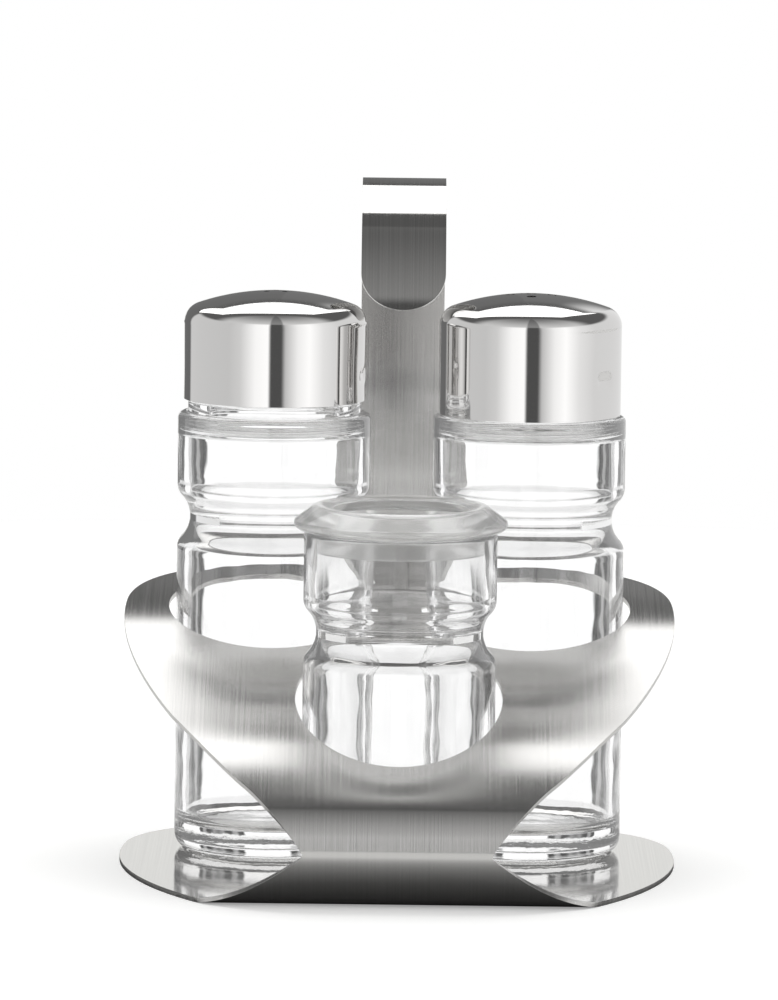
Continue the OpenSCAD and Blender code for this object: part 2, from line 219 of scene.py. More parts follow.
softbox("box_right", 43, 8, 1.2, 1.35, 1.3, 1.0)
softbox("box_left", -30, 8, 1.2, 0.95, 1.3, 1.0)
softbox("box_top", 180, 68, 0.9, 1.2, 0.72, 1.6)

# %% [markdown]
# The floor is a pale disc that takes the shadow of the set. Steel close to it sees it
# darkened, as in the shade under the set, and clear glass looks past it to the wall.

# %% Floor
FLOOR_R = 0.6
FLOOR_LIFT = 0.3


def piece_from(bm, name):
    mesh = bpy.data.meshes.new(name)
    bm.to_mesh(mesh)
    bm.free()
    made = bpy.data.objects.new(name, mesh)
    scene.collection.objects.link(made)
    return made


bm = bmesh.new()
bmesh.ops.create_circle(bm, cap_ends=True, segments=128, radius=FLOOR_R)
floor = piece_from(bm, "floor")
pale, tree = new_material("pale_table_top")
rays = add_node(tree, "LightPath")
# Painted shade: mirrors see the floor's colour darkened where their ray to it is short, in place of the shade under
# the set.
painted_contact_shade = add_node(tree, "MapRange", {"Value": rays.outputs["Ray Length"], "From Min": 0.003, "From Max": 0.055,
                                   "To Min": 0.12, "To Max": 1})
dim = add_node(tree, "Mix", {"Factor": rays.outputs["Is Glossy Ray"], 2: 1.0, 3: painted_contact_shade.outputs[0]})
tint = add_node(tree, "Mix", {"Factor": 1, 6: linear("F4F4F3"), 7: dim.outputs[0]},
                data_type="RGBA", blend_type="MULTIPLY")
diffuse = add_node(tree, "BsdfDiffuse", {"Color": tint.outputs[2]})
seen = add_node(tree, "Math", {0: rays.outputs["Is Camera Ray"], 1: rays.outputs["Is Transmission Ray"]},
                operation="MAXIMUM")
lift = add_node(tree, "Math", {0: seen.outputs[0], 1: FLOOR_LIFT}, operation="MULTIPLY")
glow = add_node(tree, "Emission", {"Strength": lift.outputs[0]})
both = add_node(tree, "AddShader", {0: diffuse.outputs[0], 1: glow.outputs[0]})
add_node(tree, "OutputMaterial", {"Surface": both.outputs[0]})
floor.data.materials.append(pale)
floor.visible_transmission = False


# %% [markdown]
# Two cards light the steel alone. The wall behind the set is dark above a low white card,
# so the base mirrors the card and the domes of the caps don't. A bright card hangs high
# behind the set: it whitens the top plate and draws a pale lens on the front of each dome.

# %% Cards
def card(name, colour, level, width, tall, place, facing):
    """An evenly glowing card that only mirrors see."""
    made, tree = new_material(name)
    glow = add_node(tree, "Emission", {"Color": linear(colour), "Strength": level})
    add_node(tree, "OutputMaterial", {"Surface": glow.outputs[0]})
    bm = bmesh.new()
    bmesh.ops.create_grid(bm, x_segments=1, y_segments=1, size=0.5)
    bmesh.ops.scale(bm, vec=(width, tall, 1), verts=bm.verts)
    bmesh.ops.rotate(bm, cent=(0, 0, 0), verts=bm.verts, matrix=facing.to_track_quat("Z", "Y").to_matrix())
    bmesh.ops.translate(bm, vec=place, verts=bm.verts)
    shown = piece_from(bm, name)
    shown.data.materials.append(made)
    shown.visible_camera = False
    shown.visible_transmission = False
    shown.visible_diffuse = False
    shown.visible_shadow = False


card("low_card", "F6F6F4", 1.0, 0.34, 0.12, Vector((0, 0.5, 0.06)), Vector((0, -1, 0)))
# The high card is placed by its elevation and distance, seen from the top of the bend
HIGH, HIGH_FAR, HIGH_LEVEL = 53.3, 0.6, 2.0
high_way = Vector((0, cos(radians(HIGH)), sin(radians(HIGH))))
card("high_card", "FFFFFF", HIGH_LEVEL, 0.66, 0.4, Vector((-0.12, -0.022, 0.072)) + HIGH_FAR * high_way, -high_way)

# %% [markdown]
# The stand's sheet is brushed lengthwise on one face, so light is smeared across the
# strip and stays sharp along it. A noise that is stretched along the strip gives the fine
# scratches, and the Tangent node turns the anisotropic gloss to lie across them.
# The other face was left as it came from the mill, close to a mirror.

# %% Steel of the stand
BLANK_MAP = "blank"


def steel(name, colour, roughness, anisotropy, scratch_w, scratch_l, depth, spread, polish=1.0):
    """Stainless steel with scratches along the strip, whose sizes are in millimetres."""
    made, tree = new_material(name)
    blank = add_node(tree, "UVMap", uv_map=BLANK_MAP)
    grain = add_node(tree, "Mapping", {"Vector": blank.outputs[0],
                                       "Scale": (1 / (scratch_w * MM), 1 / (scratch_l * MM), 1)})
    scratches = add_node(tree, "TexNoise", {"Vector": grain.outputs[0], "Scale": 1, "Detail": 3, "Roughness": 0.6})
    rough = add_node(tree, "MapRange", {"Value": scratches.outputs["Fac"], "From Min": 0.3, "From Max": 0.7,
                                        "To Min": roughness - spread, "To Max": roughness + spread})
    along = add_node(tree, "SeparateXYZ", {0: blank.outputs[0]})
    worn = add_node(tree, "MapRange", {"Value": along.outputs[1], "From Min": HANDLE_S * MM, "From Max": HOOK_S * MM,
                                       "To Min": 1, "To Max": polish}, interpolation_type="SMOOTHSTEP")
    rough = add_node(tree, "Math", {0: rough.outputs[0], 1: worn.outputs[0]}, operation="MULTIPLY")
    tone = add_node(tree, "MapRange", {"Value": scratches.outputs["Fac"], "From Min": 0.3, "From Max": 0.7,
                                       "To Min": 0.86, "To Max": 1.0})
    colour_node = add_node(tree, "Mix", {"Factor": 1, 6: linear(colour), 7: tone.outputs[0]},
                           data_type="RGBA", blend_type="MULTIPLY")
    bump = add_node(tree, "Bump", {"Strength": 1, "Distance": depth * MM, "Height": scratches.outputs["Fac"]})
    across = add_node(tree, "Tangent", direction_type="UV_MAP", uv_map=BLANK_MAP)
    metal = add_node(tree, "BsdfPrincipled", {
        "Base Color": colour_node.outputs[2], "Metallic": 1, "Roughness": rough.outputs[0],
        "Anisotropic": anisotropy, "Tangent": across.outputs[0], "Normal": bump.outputs[0]})
    add_node(tree, "OutputMaterial", {"Surface": metal.outputs[0]})
    return made


# From here to there along the strip the brushed finish gives way to the polish of the hook
HANDLE_S, HOOK_S = 322, 352
brushed = steel("brushed_stainless_sheet", "D9D8D6", 0.22, 0.95, 0.28, 60, 0.0012, 0.03, 0.6)
mill = steel("mill_bright_stainless_sheet", "D4D3D1", 0.08, 0.5, 0.25, 80, 0.0002, 0.015)

# %% [markdown]
# A real stand is punched from flat sheet and then bent, and this one is made that way.
# The blank is drawn flat, with x across the strip and s along it, from the back of the
# base to the tip of the hook. After it has its thickness and its deburred edges, one
# function carries each of its points onto the bent strip. It gives every corner of
# every face its true direction too, so that the steel mirrors the room without facets.

# %% Side view of the strip
SHEET = 1.0
ROW_Y = 15.5965
BEND_BACK, BEND_R = -65.103, 11.65
PLATE_SLOPE, TONGUE_SLOPE, PLATE_R = 34.2, 1.7015, 211
BOW = (46.9485, -153.229)
TONGUE_R, TONGUE_BACK, TONGUE_Z = 4, 40.56, 61.68
HANDLE_FACE, HANDLE_W = 44.56, 17.9
SET_H, HOOK_BACK_R, HOOK_R, HOOK_TURN = 140, 5.5, 33, 77
HOOK_TOP_BACK = 40.06
BASE_BACK = 30.8

# Each stretch has its length, then a centre, a radius and two angles, or two end points
def bow_stretch(centre, radius, start, end):
    return (radius * radians(abs(end - start)), centre, radius, start, end)


STRETCHES = [
    (BASE_BACK - BEND_BACK, (BASE_BACK, 0), (BEND_BACK, 0)),
    bow_stretch((BEND_BACK, BEND_R), BEND_R, 270, 90 + PLATE_SLOPE),
    bow_stretch(BOW, PLATE_R, 90 + PLATE_SLOPE, 90 + TONGUE_SLOPE),
    bow_stretch((TONGUE_BACK, TONGUE_Z), TONGUE_R, TONGUE_SLOPE - 90, 0),
    (SET_H - HOOK_BACK_R - TONGUE_Z, (HANDLE_FACE, TONGUE_Z), (HANDLE_FACE, SET_H - HOOK_BACK_R)),
    bow_stretch((HOOK_TOP_BACK, SET_H - HOOK_BACK_R), HOOK_BACK_R - SHEET, 0, 90),
    bow_stretch((HOOK_TOP_BACK, SET_H - HOOK_R), HOOK_R - SHEET, 90, 90 + HOOK_TURN),
]
STARTS = [sum(s[0] for s in STRETCHES[:i]) for i in range(len(STRETCHES) + 1)]
print("developed length of the strip in mm:", round(STARTS[-1], 1))


def strip_point(x, s, t):
    """Place in mm of a point of the blank. t is 0 on the brushed face and SHEET on the other, and
    x is turned round, because that keeps the faces of the blank pointing outwards."""
    i = max(j for j in range(len(STRETCHES)) if s >= STARTS[j] or j == 0)
    stretch, along = STRETCHES[i], s - STARTS[i]
    if len(stretch) == 3:
        length, (y0, z0), (y1, z1) = stretch
        ty, tz = (y1 - y0) / length, (z1 - z0) / length
        y, z = y0 + ty * along, z0 + tz * along
        ny, nz = tz, -ty
    else:
        length, (cy, cz), radius, start, end = stretch
        turn = 1 if end > start else -1
        a = radians(start + turn * degrees(along / radius))
        y, z = cy + radius * cos(a), cz + radius * sin(a)
        ny, nz = cos(a) * turn, sin(a) * turn
    return Vector((-x, ROW_Y + y + ny * t, z + nz * t))


for label, s in (("base", 10), ("bend", STARTS[1] + 10), ("plate", STARTS[2] + 60), ("handle", STARTS[4] + 20),
                 ("hook", STARTS[6] + 20)):
    print(label, [tuple(round(v, 2) for v in strip_point(0, s, t)) for t in (0, SHEET)])

# %% Outline of the blank
LOBE_R, LOBE_X = 30.8, 26.8


def arc(centre, radius, start, end, step=2.5):
    """Points of an arc, with angles in degrees."""
    count = max(1, ceil(abs(end - start) / step))
    turns = [radians(start + (end - start) * i / count) for i in range(count + 1)]
    return [(centre[0] + radius * cos(a), centre[1] + radius * sin(a)) for a in turns]


# Where a height or a depth of the bent strip lies along the blank
def s_on_base(y):
    return BASE_BACK - y


def s_on_bend(z):
    return STARTS[1] + BEND_R * acos(1 - z / BEND_R)


def s_on_plate(y):
    return STARTS[2] + PLATE_R * (radians(90 + PLATE_SLOPE) - acos((y - BOW[0]) / PLATE_R))


def plate_z(y):
    return BOW[1] + sqrt(PLATE_R ** 2 - (y - BOW[0]) ** 2)


def plate_y(z):
    return BOW[0] - sqrt(PLATE_R ** 2 - (z - BOW[1]) ** 2)


WAIST_X, NOTCH_Z, CUT, POINT_R = 18.9, 11.4, 36, 1
FLARE_R, FLARE_TURN = 41.5, -31
BASE_SIDE_R, BASE_SIDE_TURN, BASE_CORNER_R = 100, 8, 12
PLATE_SIDE_R, PLATE_SIDE_TURN = 85, 5
SIDE_END_Y = BEND_BACK + 2.4
SOFTEN = 5
FILLET = 6
TIP_H = 7.6
tip_s = s_on_bend(NOTCH_Z)


def polar(radius, turn):
    return Vector((radius * cos(radians(turn)), radius * sin(radians(turn))))


# The base, with its y running straight on where the sheet turns up
lobe = Vector((LOBE_X, 0))
side = lobe - polar(BASE_SIDE_R - LOBE_R, BASE_SIDE_TURN)
cut_start = Vector((WAIST_X + (tip_s - STARTS[1]) / tan(radians(CUT)), BEND_BACK))
reach = (cut_start - side).dot(polar(1, CUT - 90)) - BASE_CORNER_R
corner_turn = CUT - 90 + degrees(acos(reach / (BASE_SIDE_R - BASE_CORNER_R)))
corner = side + polar(BASE_SIDE_R - BASE_CORNER_R, corner_turn)
base_half = (arc(lobe, LOBE_R, 90, BASE_SIDE_TURN) + arc(side, BASE_SIDE_R, BASE_SIDE_TURN, corner_turn)[1:]
             + arc(corner, BASE_CORNER_R, corner_turn, CUT - 90, 4)[1:])
half = [(x, s_on_base(y)) for x, y in base_half]
print("corner of the base from", round(corner_turn, 1), "degrees to the cut at", [round(v, 2) for v in half[-1]])

# The point of the notch and its flare, as they show from the front
flare = Vector((WAIST_X, NOTCH_Z)) + polar(FLARE_R, FLARE_TURN)
lean = degrees(acos((POINT_R - (flare - Vector((WAIST_X, NOTCH_Z))).dot(polar(1, 90 - CUT))) / (FLARE_R - POINT_R)))
point = flare + polar(FLARE_R - POINT_R, 90 - CUT + lean)
half += [(x, s_on_bend(z)) for x, z in arc(point, POINT_R, 270 - CUT, 90 - CUT + lean, 15)]
plate_low = plate_z(BOW[0] - PLATE_R * sin(radians(PLATE_SLOPE)))
plate_side = (LOBE_X - (PLATE_SIDE_R - LOBE_R) * cos(radians(PLATE_SIDE_TURN)),
              -(PLATE_SIDE_R - LOBE_R) * sin(radians(PLATE_SIDE_TURN)))


def side_x(y):
    return plate_side[0] + sqrt(PLATE_SIDE_R ** 2 - (max(y, SIDE_END_Y) - plate_side[1]) ** 2)


for x, z in arc(flare, FLARE_R, 90 - CUT + lean, 90, 1.5)[1:]:
    if z < plate_low:
        half.append((x, s_on_bend(z)))
    elif x < side_x(plate_y(z)):
        half.append((x, s_on_plate(plate_y(z))))
        meet_y = plate_y(z)

# The kink where the flare meets the side of the plate is softened
kink = Vector((side_x(meet_y), s_on_plate(meet_y)))
kept = [p for p in half if (Vector(p) - kink).length > SOFTEN]
side_points = [(x, s_on_plate(y)) for x, y in arc(plate_side, PLATE_SIDE_R, -30, PLATE_SIDE_TURN, 1) if y > meet_y]
side_points = [p for p in side_points if (Vector(p) - kink).length > SOFTEN]
a, b, c = Vector(kept[-1]), kink, Vector(side_points[0])
half = kept + [tuple((1 - t) ** 2 * a + 2 * t * (1 - t) * b + t * t * c) for t in (0.2, 0.4, 0.6, 0.8)] + side_points
half += [(x, s_on_plate(y)) for x, y in arc((LOBE_X, 0), LOBE_R, PLATE_SIDE_TURN, 90)[1:]]
half += [(x, s_on_plate(y)) for x, y in arc((HANDLE_W / 2 + FILLET, LOBE_R + FILLET), FILLET, 270, 180, 10)]
tip_z = SET_H - HOOK_R * (1 - cos(radians(HOOK_TURN)))
for a in range(0, -90, -6):
    z = tip_z + TIP_H * (1 + sin(radians(a)))
    half.append((HANDLE_W / 2 * cos(radians(a)),
                 STARTS[6] + (HOOK_R - SHEET) * acos((z - SET_H + HOOK_R) / HOOK_R)))
half.append((0, STARTS[7]))
outline = half + [(-x, s) for x, s in reversed(half[:-1])]
print("points round the blank:", len(outline))

# %% Blank with its holes
SHAKER_HOLE_R, JAR_HOLE_R, JAR_REL = 21.8, 21.4, -40.3029
BROKEN_EDGE = 0.22
holes = [[(x, s_on_plate(y)) for x, y in arc(centre, radius, 0, 360, 2.5)[:-1]]
         for centre, radius in (((LOBE_X, 0), SHAKER_HOLE_R), ((-LOBE_X, 0), SHAKER_HOLE_R),
                                ((0, JAR_REL), JAR_HOLE_R))]


def loop_of(bm, points, closed=True):
    made = [bm.verts.new((*p, 0) if len(p) == 2 else p) for p in points]
    for a, b in zip(made, made[1:] + made[:1] if closed else made[1:]):
        bm.edges.new((a, b))
    return made


def thicken(bm, rise):
    risen = bmesh.ops.extrude_face_region(bm, geom=bm.faces[:])
    bmesh.ops.translate(bm, vec=(0, 0, rise), verts=[v for v in risen["geom"] if isinstance(v, bmesh.types.BMVert)])
    bmesh.ops.recalc_face_normals(bm, faces=bm.faces[:])


def punch(loops, thickness, edge):
    """A flat blank inside the first loop and outside the others, with its edges broken."""
    bm = bmesh.new()
    for points in loops:
        loop_of(bm, points)
    bmesh.ops.triangle_fill(bm, use_beauty=True, use_dissolve=False, edges=bm.edges[:], normal=(0, 0, 1))
    thicken(bm, thickness)
    rims = [e for e in bm.edges if len(e.link_faces) == 2
            and abs(e.link_faces[0].normal.z - e.link_faces[1].normal.z) > 0.5]
    bmesh.ops.bevel(bm, geom=rims, offset=edge, offset_type="OFFSET", segments=2, profile=0.5,
                    affect="EDGES", material=-1, clamp_overlap=True)
    return bm


def slice_across(bm, places, normal):
    for place in places:
        bmesh.ops.bisect_plane(bm, geom=bm.verts[:] + bm.edges[:] + bm.faces[:], dist=1e-5,
                               plane_co=Vector(normal) * place, plane_no=normal)


bm = punch([outline] + holes, SHEET, BROKEN_EDGE)
print("blank:", len(bm.verts), "points,", len(bm.faces), "faces")
# Degrees between two slices, for each stretch in turn
STEPS = [0, 2.5, 0.75, 8, 0, 8, 4]
places = []
for start, stretch, step in zip(STARTS, STRETCHES, STEPS):
    if len(stretch) == 3:
        places += [start, start + stretch[0]]
    else:
        count = ceil(abs(stretch[4] - stretch[3]) / step)
        places += [start + stretch[0] * i / count for i in range(1, count)]
slice_across(bm, places, (0, 1, 0))
print("sliced:", len(bm.verts), "points,", len(bm.faces), "faces")

# %% Bend the blank
NUDGE = 0.01
BROAD = 0.999


def form(bm, shape):
    """Carries a flat blank in mm onto its finished shape, and returns a direction for each face corner."""
    flat = {}
    for v in bm.verts:
        here = shape(*v.co)
        flat[v] = (here, [(shape(*(v.co + NUDGE * step)) - shape(*(v.co - NUDGE * step))) / (2 * NUDGE)
                          for step in (Vector((1, 0, 0)), Vector((0, 1, 0)), Vector((0, 0, 1)))])
    directions = []
    for f in bm.faces:
        for v in f.verts:
            if abs(f.normal.z) > BROAD:
                n = Vector((0, 0, 1 if f.normal.z > 0 else -1))
            else:
                n = sum((g.normal * g.calc_area() for g in v.link_faces
                         if abs(g.normal.z) <= BROAD and g.normal.dot(f.normal) > 0.6), Vector())
                n = n.normalized() if n.length > 0 else f.normal
            a, b, c = flat[v][1]
            directions.append((n.x * b.cross(c) + n.y * c.cross(a) + n.z * a.cross(b)).normalized())
    for v, (here, _) in flat.items():
        v.co = here * MM
    return directions


def finish_piece(bm, name, body, node, materials, directions=None):
    """Turns the mesh into a piece that rides on its body in place of the CAD node."""
    made = piece_from(bm, name)
    for m in materials:
        made.data.materials.append(m)
    for p in made.data.polygons:
        p.use_smooth = True
    if directions:
        made.data.normals_split_custom_set(directions)
    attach(made, body)
    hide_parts(node)
    print(name, len(made.data.polygons), "faces, size in mm:", [round(d / MM, 1) for d in made.dimensions])


blank_uv = bm.loops.layers.uv.new(BLANK_MAP)
for f in bm.faces:
    for loop in f.loops:
        loop[blank_uv].uv = loop.vert.co.xy * MM
    f.material_index = 1 if f.normal.z > 0.5 else 0
directions = form(bm, strip_point)
finish_piece(bm, "stand_sheet", "stand", "stand", [brushed, mill], directions)

# %% [markdown]
# The glasses are pressed: a plunger forms the inside and a mould the outside, so each is
# a body of revolution with soft corners. Its half section is drawn once, from the axis
# under the foot, up the outside, over the lip and down the inside, and spun round.
# Clear soda-lime glass shows by what it bends, so its wall is modelled on both sides.

# %% Glass
clear, tree = new_material("clear_soda_lime_glass")
spot = add_node(tree, "TexCoord")
ripple = add_node(tree, "TexNoise", {"Vector": spot.outputs["Object"], "Scale": 110, "Detail": 1})
chill = add_node(tree, "TexNoise", {"Vector": spot.outputs["Object"], "Scale": 420, "Detail": 2})
above_foot = add_node(tree, "SeparateXYZ", {0: spot.outputs["Object"]})
low = add_node(tree, "MapRange", {"Value": above_foot.outputs[2], "From Min": 0.006, "From Max": 0.014,
                                  "To Min": 0.35, "To Max": 0})
chilled = add_node(tree, "Math", {0: chill.outputs["Fac"], 1: low.outputs[0], 2: ripple.outputs["Fac"]},
                   operation="MULTIPLY_ADD")
bump = add_node(tree, "Bump", {"Strength": 1, "Distance": 0.12 * MM, "Height": chilled.outputs[0]})
# The shoulders of the bottles came out nearly black. A very faint glow, where a ray has
# been reflected more than once, stands in for the missing light.
rays = add_node(tree, "LightPath")
caught = add_node(tree, "MapRange", {"Value": rays.outputs["Glossy Depth"], "From Min": 1, "From Max": 3,
                                     "To Min": 0, "To Max": 0.06})
glass = add_node(tree, "BsdfPrincipled", {"Base Color": linear("FDFDFD"), "Roughness": 0, "IOR": 1.52,
                                          "Transmission Weight": 1, "Normal": bump.outputs[0],
                                          "Emission Color": linear("FFFFFF"), "Emission Strength": caught.outputs[0]})
add_node(tree, "OutputMaterial", {"Surface": glass.outputs[0]})

WALL, FOOT, FOOT_R, PUSH_UP = 2.3, 5.5, 3, 1.2
GROOVE_H, GROOVE_DEPTH, GROOVE_EDGE = 13.5, 2.7, 3.5


def groove(radius, middle, height, depth, edge):
    """Half section of a finger groove, from its lower shoulder to its upper one."""
    turn = 2 * atan(2 * depth / height)
    hollow = height / 2 / sin(turn) - edge
    turn = degrees(turn)
    return (arc((radius - edge, middle - height / 2), edge, 0, turn, 4)
            + arc((radius - depth + hollow, middle), hollow, 180 + turn, 180 - turn, 4)[1:-1]
            + arc((radius - edge, middle + height / 2), edge, -turn, 0, 4))


def outer_wall(radius, groove_z):
    dish_w = radius - FOOT_R - WALL / 2
    dish_r = (dish_w ** 2 + PUSH_UP ** 2) / (2 * PUSH_UP)
    dish = [(dish_w * i / 8, PUSH_UP - dish_r + sqrt(dish_r ** 2 - (dish_w * i / 8) ** 2)) for i in range(9)]
    return (dish + arc((radius - FOOT_R, FOOT_R), FOOT_R, -90, 0, 6)
            + groove(radius, groove_z, GROOVE_H, GROOVE_DEPTH, GROOVE_EDGE))


def inner_wall(radius, groove_z):
    inner = radius - WALL
    return (list(reversed(groove(inner, groove_z, GROOVE_H + WALL, GROOVE_DEPTH - WALL, 2 * WALL)))
            + arc((inner - FOOT_R, FOOT + FOOT_R), FOOT_R, 0, -90, 6) + [(0, FOOT)])


TURNS = 192
KNURL, KNURL_W = 0.3, 1.8
THREAD_PITCH, THREAD_DEPTH, THREAD_END = 3.4, 0.6, 0.6


def spin_up(profile):
    """Spins a half section round the vertical axis into a closed shell."""
    bm = bmesh.new()
    loop_of(bm, [(x, 0, z) for x, z in profile], closed=False)
    bmesh.ops.spin(bm, geom=bm.verts[:] + bm.edges[:], axis=(0, 0, 1), cent=(0, 0, 0), dvec=(0, 0, 0),
                   angle=2 * pi, steps=TURNS, use_merge=True, use_duplicate=False)
    bmesh.ops.remove_doubles(bm, verts=bm.verts[:], dist=1e-4)
    bmesh.ops.recalc_face_normals(bm, faces=bm.faces[:])
    return bm


def knurl_foot(bm, radius):
    """Raises every other point of the bearing ring, where a pressed glass is stippled."""
    for v in bm.verts:
        r = hypot(v.co.x, v.co.y)
        if v.co.z < 0.25 and abs(r - radius) < KNURL_W and round(atan2(v.co.y, v.co.x) / (2 * pi) * TURNS) % 2:
            v.co.z += KNURL


def cut_thread(bm, low, high):
    """Presses a two-turn thread into the neck between two heights."""
    for v in bm.verts:
        r = hypot(v.co.x, v.co.y)
        if low < v.co.z < high and r > NECK_R - 0.4:
            phase = (v.co.z / THREAD_PITCH - atan2(v.co.y, v.co.x) / (2 * pi)) * 2 * pi
            ends = min(1, (v.co.z - low) / THREAD_END, (high - v.co.z) / THREAD_END)
            k = 1 - THREAD_DEPTH * ends * (0.5 - 0.5 * cos(phase)) / r
            v.co.x, v.co.y = v.co.x * k, v.co.y * k


def stand_at(bm, x, y, z):
    bmesh.ops.scale(bm, vec=(MM, MM, MM), verts=bm.verts)
    bmesh.ops.translate(bm, vec=Vector((x, y, z)) * MM, verts=bm.verts)


FOOT_Z = 1.05
SHAKER_R, SHAKER_H, SHAKER_GROOVE_Z = 20.3, 92.4, 70.4
RING_R, RING_H, NECK_R, NECK_H, MOUTH_R, LIP = 18.2, 2.6, 16.6, 9.6, 13.8, 0.575
SHOULDER = RING_H / 2
CORNER = 0.3
ring_top, neck_top = SHAKER_H + RING_H, SHAKER_H + RING_H + NECK_H
bottle = (outer_wall(SHAKER_R, SHAKER_GROOVE_Z)
          + arc((SHAKER_R - SHOULDER, SHAKER_H - SHOULDER), SHOULDER, 0, 90, 10)
          + [(RING_R + CORNER, SHAKER_H), (RING_R, SHAKER_H + CORNER)]
          + arc((RING_R - LIP, ring_top - LIP), LIP, 0, 90, 15)
          + [(NECK_R + CORNER, ring_top), (NECK_R, ring_top + CORNER)]
          + [(NECK_R, ring_top + CORNER + (NECK_H - CORNER - LIP) * i / 30) for i in range(1, 30)]
          + arc((NECK_R - LIP, neck_top - LIP), LIP, 0, 90, 15)
          + arc((MOUTH_R + LIP, neck_top - LIP), LIP, 90, 180, 15)
          + [(MOUTH_R, SHAKER_H - WALL + 0.6), (MOUTH_R + 0.2, SHAKER_H - WALL + 0.1)]
          + arc((SHAKER_R - WALL - FOOT_R, SHAKER_H - WALL - FOOT_R), FOOT_R, 90, 0, 6)
          + inner_wall(SHAKER_R, SHAKER_GROOVE_Z))
for name, x in (("salt", LOBE_X), ("pepper", -LOBE_X)):
    bm = spin_up(bottle)
    knurl_foot(bm, SHAKER_R - FOOT_R)
    cut_thread(bm, ring_top + 1, neck_top - 0.7)
    stand_at(bm, x, ROW_Y, FOOT_Z)
    finish_piece(bm, name + "_glass", name + "_shaker", name + "_bottle", [clear])

# %% Toothpick jar
JAR_R, JAR_H, JAR_GROOVE_Z = 19.9, 72.1, 51.4
jar_y = ROW_Y + JAR_REL
jar = (outer_wall(JAR_R, JAR_GROOVE_Z)
       + arc((JAR_R - LIP, JAR_H - LIP), LIP, 0, 90, 15)
       + arc((JAR_R - WALL + LIP, JAR_H - LIP), LIP, 90, 180, 15)
       + inner_wall(JAR_R, JAR_GROOVE_Z))
bm = spin_up(jar)
knurl_foot(bm, JAR_R - FOOT_R)
stand_at(bm, 0, jar_y, FOOT_Z)
finish_piece(bm, "jar_glass", "jar", "toothpick_jar", [clear])

# %% [markdown]
# The collar of the jar is moulded from natural polyethylene, which is milky and lets
# light through. Its flange is a thin shell: sloping above, hollow below, with a dished
# way into the opening and a short plug that grips the glass.

# %% Collar
frosted, tree = new_material("natural_polyethylene")
spot = add_node(tree, "TexCoord")
cloud = add_node(tree, "TexNoise", {"Vector": spot.outputs["Object"], "Scale": 700, "Detail": 2})
bump = add_node(tree, "Bump", {"Strength": 1, "Distance": 0.01 * MM, "Height": cloud.outputs["Fac"]})
rough = add_node(tree, "MapRange", {"Value": cloud.outputs["Fac"], "To Min": 0.1, "To Max": 0.18})
milky = add_node(tree, "BsdfPrincipled", {"Base Color": linear("FDFDFC"), "Roughness": rough.outputs[0],
                                          "IOR": 1.5, "Transmission Weight": 0.8, "Normal": bump.outputs[0]})
add_node(tree, "OutputMaterial", {"Surface": milky.outputs[0]})

RIM_R, TOP_R, COLLAR_H, EDGE_H, COLLAR_WALL, PLUG, GAP = 21.95, 18.15, 5.6, 1.1, 1.3, 4, 0.05
seat = JAR_H + GAP
plug_r = JAR_R - WALL - GAP
dish = COLLAR_WALL / 2
collar_top = seat + COLLAR_H
corners = [(plug_r - COLLAR_WALL, seat - PLUG), (plug_r, seat - PLUG), (plug_r, seat), (JAR_R - WALL / 2, seat),
           (RIM_R - dish, seat + dish), (RIM_R, seat + 2 * dish), (RIM_R, seat + 2 * dish + EDGE_H),
           (TOP_R, collar_top - dish / 2), (TOP_R - dish, collar_top), (TOP_R - 2 * dish, collar_top),
           (MOUTH_R, collar_top - dish), (MOUTH_R, collar_top - dish - COLLAR_WALL),
           (plug_r - COLLAR_WALL, collar_top - dish - COLLAR_WALL)]


def round_corners(points, radius):
    """Rounds each corner of a closed half section."""
    steps = 4
    made = []
    for before, here, after in zip(points[-1:] + points[:-1], points, points[1:] + points[:1]):
        a, b, c = Vector(before), Vector(here), Vector(after)
        reach = min(radius, (a - b).length * 0.45, (c - b).length * 0.45)
        start, end = b + (a - b).normalized() * reach, b + (c - b).normalized() * reach
        for i in range(steps + 1):
            t = i / steps
            made.append(tuple((1 - t) ** 2 * start + 2 * t * (1 - t) * b + t ** 2 * end))
    return made


profile = round_corners(corners, 0.35)
bm = spin_up(profile + profile[:1])
stand_at(bm, 0, jar_y, FOOT_Z)
finish_piece(bm, "collar_shell", "jar_lid", "toothpick_collar", [frosted])

# %% [markdown]
# A cap is deep drawn from a disc of thin stainless steel and polished. Here too the disc
# is punched first, with the holes for salt or pepper, and then drawn over its shape.
# Two small dents lock the plastic insert inside.

# %% Caps
polished, tree = new_material("polished_stainless_cap")
spot = add_node(tree, "TexCoord")
wear = add_node(tree, "TexNoise", {"Vector": spot.outputs["Object"], "Scale": 250, "Detail": 3})
rough = add_node(tree, "MapRange", {"Value": wear.outputs["Fac"], "To Min": 0.03, "To Max": 0.07})
shine = add_node(tree, "BsdfPrincipled", {"Base Color": linear("DCDBDA"), "Metallic": 1,
                                          "Roughness": rough.outputs[0]})
add_node(tree, "OutputMaterial", {"Surface": shine.outputs[0]})

CAP_R, CAP_WALL, DOME_R, CAP_EDGE = 19.15, 0.6, 50, 4
SEAT_GAP = 0.3
SALT_CAP_H, PEPPER_CAP_H = 25.2, 22.7
SALT_TURN, PEPPER_TURN = -35, -12
cap_top = SHAKER_H + SEAT_GAP + SALT_CAP_H
dome_low = cap_top - DOME_R
edge_x = CAP_R - CAP_EDGE
edge_z = dome_low + sqrt((DOME_R - CAP_EDGE) ** 2 - edge_x ** 2)
dome_turn = asin(edge_x / (DOME_R - CAP_EDGE))
dome_s = DOME_R * dome_turn
edge_s = dome_s + CAP_EDGE * (pi / 2 - dome_turn)
dimple_z = (ring_top + SEAT_GAP + neck_top + GAP + COLLAR_WALL) / 2
DIMPLE_W, DIMPLE_TALL, DIMPLE_DEPTH = 2.4, 1.3, 0.45
SINK_W, SINK_DEPTH = 6, 0.12


